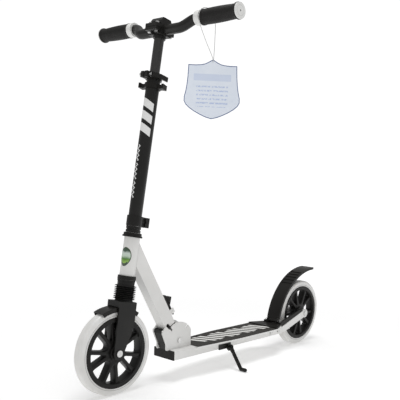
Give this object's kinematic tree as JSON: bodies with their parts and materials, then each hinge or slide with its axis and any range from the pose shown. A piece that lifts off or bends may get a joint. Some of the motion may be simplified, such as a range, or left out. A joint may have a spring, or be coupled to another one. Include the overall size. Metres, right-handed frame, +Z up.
{
  "type": "kick scooter",
  "caption": "Folding kick scooter with pale solid tyres, sprung front fork, height-adjustable T-bar, rear fender brake, kickstand and a blank hang tag.",
  "frame": {"origin": "on the ground, midway between the two axles, on the centre plane", "axes": "+X forwards, +Y to the rider's left, +Z up; the scooter stands upright with its kickstand down"},
  "size_m": [0.93, 0.442, 0.8541],
  "materials": {
    "white_paint": "gloss powder coat",
    "black_paint": "satin powder coat",
    "platform_alloy": "white coated extrusion",
    "grip_tape": "gritty sheet",
    "black_plastic": "moulded, satin",
    "zinc_steel": "bright zinc",
    "bearing_steel": "ground",
    "tyre_pu": "pale polyurethane, satin",
    "core_plastic": "moulded",
    "inner_tube_metal": "dark anodised",
    "black_rubber": "matt",
    "white_plastic": "gloss",
    "tag_card": "coated card",
    "string": "twisted thread"
  },
  "bodies": {
    "deck": {"deck_beam": "white_paint", "beam_end_cap": "black_plastic", "platform": "platform_alloy", "grip_sheet": "grip_tape", "fold_bracket": "white_paint", "fold_stop": "black_plastic", "fold_pivot_bolt": "zinc_steel", "rear_arm_left": "white_paint", "rear_arm_right": "white_paint", "arm_bolts": "zinc_steel", "tail_cover": "black_plastic", "fender_pin": "zinc_steel", "fender_spring": "zinc_steel", "stand_bracket": "black_paint", "rear_axle_set": "zinc_steel"},
    "front_frame": {"down_tube": "white_paint", "head_tube": "white_paint", "fold_block": "black_plastic", "headset_cups": "black_plastic", "headset_bearings": "bearing_steel", "lever_pin": "zinc_steel"},
    "latch_lever": {"release_lever": "black_plastic"},
    "latch_pin": {"lock_pin": "black_plastic"},
    "column": {"steerer": "zinc_steel", "headset_locknuts": "black_paint", "stem_tube": "black_paint", "stem_collar": "black_paint", "collar_bolts": "zinc_steel", "height_sleeve": "black_plastic", "height_clamp": "black_paint", "clamp_bolt": "zinc_steel", "bar_rest": "black_plastic", "suspension_spring": "zinc_steel", "boot": "black_rubber"},
    "height_lever": {"clamp_lever": "black_plastic"},
    "fork": {"fork_slider": "zinc_steel", "fork_crown": "black_paint", "fork_blade_left": "black_paint", "fork_blade_right": "black_paint", "front_mudguard": "black_plastic", "front_axle_set": "zinc_steel"},
    "front_wheel": {"front_tyre": "tyre_pu", "front_core": "core_plastic", "front_bearings": "bearing_steel"},
    "rear_wheel": {"rear_tyre": "tyre_pu", "rear_core": "core_plastic", "rear_bearings": "bearing_steel"},
    "bar_post": {"inner_tube": "inner_tube_metal", "bar_clamp_base": "black_paint", "bar_clamp_cap": "black_paint", "bar_clamp_bolts": "zinc_steel", "handlebar": "black_paint", "grips": "black_rubber", "grip_collars": "white_plastic", "bar_end_plugs": "white_plastic"},
    "brake_fender": {"fender": "black_plastic", "brake_pad": "black_rubber"},
    "stand": {"kickstand": "black_paint"},
    "tag": {"hang_tag": "tag_card", "tag_string": "string"}
  },
  "joints": [
    {"name": "fold", "type": "hinge", "parent": "deck", "child": "front_frame", "pos_m": [0.173, 0, 0.099], "axis": [0, -1, 0], "range_deg": [0, 80]},
    {"name": "release", "type": "hinge", "parent": "front_frame", "child": "latch_lever", "pos_m": [0.18851, 0, 0.17459], "axis": [0, -1, 0], "range_deg": [0, 12]},
    {"name": "lock_lift", "type": "slide", "parent": "front_frame", "child": "latch_pin", "axis": [0.6626, 0, 0.749], "range_m": [0, 0.005], "stiffness_N_per_m": 1000, "springref_m": -0.005},
    {"name": "steering", "type": "hinge", "parent": "front_frame", "child": "column", "pos_m": [0.32384, 0, 0.29597], "axis": [-0.1564, 0, 0.9877], "continuous": true},
    {"name": "suspension", "type": "slide", "parent": "column", "child": "fork", "axis": [-0.1564, 0, 0.9877], "range_m": [0, 0.018], "stiffness_N_per_m": 20000, "springref_m": -0.001, "deforming": ["suspension_spring", "boot"]},
    {"name": "front_wheel_spin", "type": "hinge", "parent": "fork", "child": "front_wheel", "pos_m": [0.365, 0, 0.1], "axis": [0, 1, 0], "continuous": true},
    {"name": "rear_wheel_spin", "type": "hinge", "parent": "deck", "child": "rear_wheel", "pos_m": [-0.365, 0, 0.1], "axis": [0, 1, 0], "continuous": true},
    {"name": "bar_height", "type": "slide", "parent": "column", "child": "bar_post", "axis": [-0.1564, 0, 0.9877], "range_m": [-0.05, 0.1]},
    {"name": "clamp_cam", "type": "hinge", "parent": "column", "child": "height_lever", "pos_m": [0.28117, 0.017, 0.7188], "axis": [0.1564, 0, -0.9877], "range_deg": [0, 110]},
    {"name": "brake", "type": "hinge", "parent": "deck", "child": "brake_fender", "pos_m": [-0.2402, 0, 0.08929], "axis": [0, -1, 0], "range_deg": [0, 3], "stiffness_Nm_per_rad": 60, "springref_deg": -1.15},
    {"name": "stand_fold", "type": "hinge", "parent": "deck", "child": "stand", "pos_m": [0.005, 0.045, 0.058], "axis": [0, 0.809, 0.5878], "range_deg": [0, 90]},
    {"name": "tag_swing", "type": "hinge", "parent": "bar_post", "child": "tag", "pos_m": [0.22675, 0.15, 0.83543], "axis": [0, 1, 0], "range_deg": [-35, 35]}
  ],
  "couplings": [
    {"joint": "release", "follows": "lock_lift", "rad_per_m": 41.846}
  ]
}
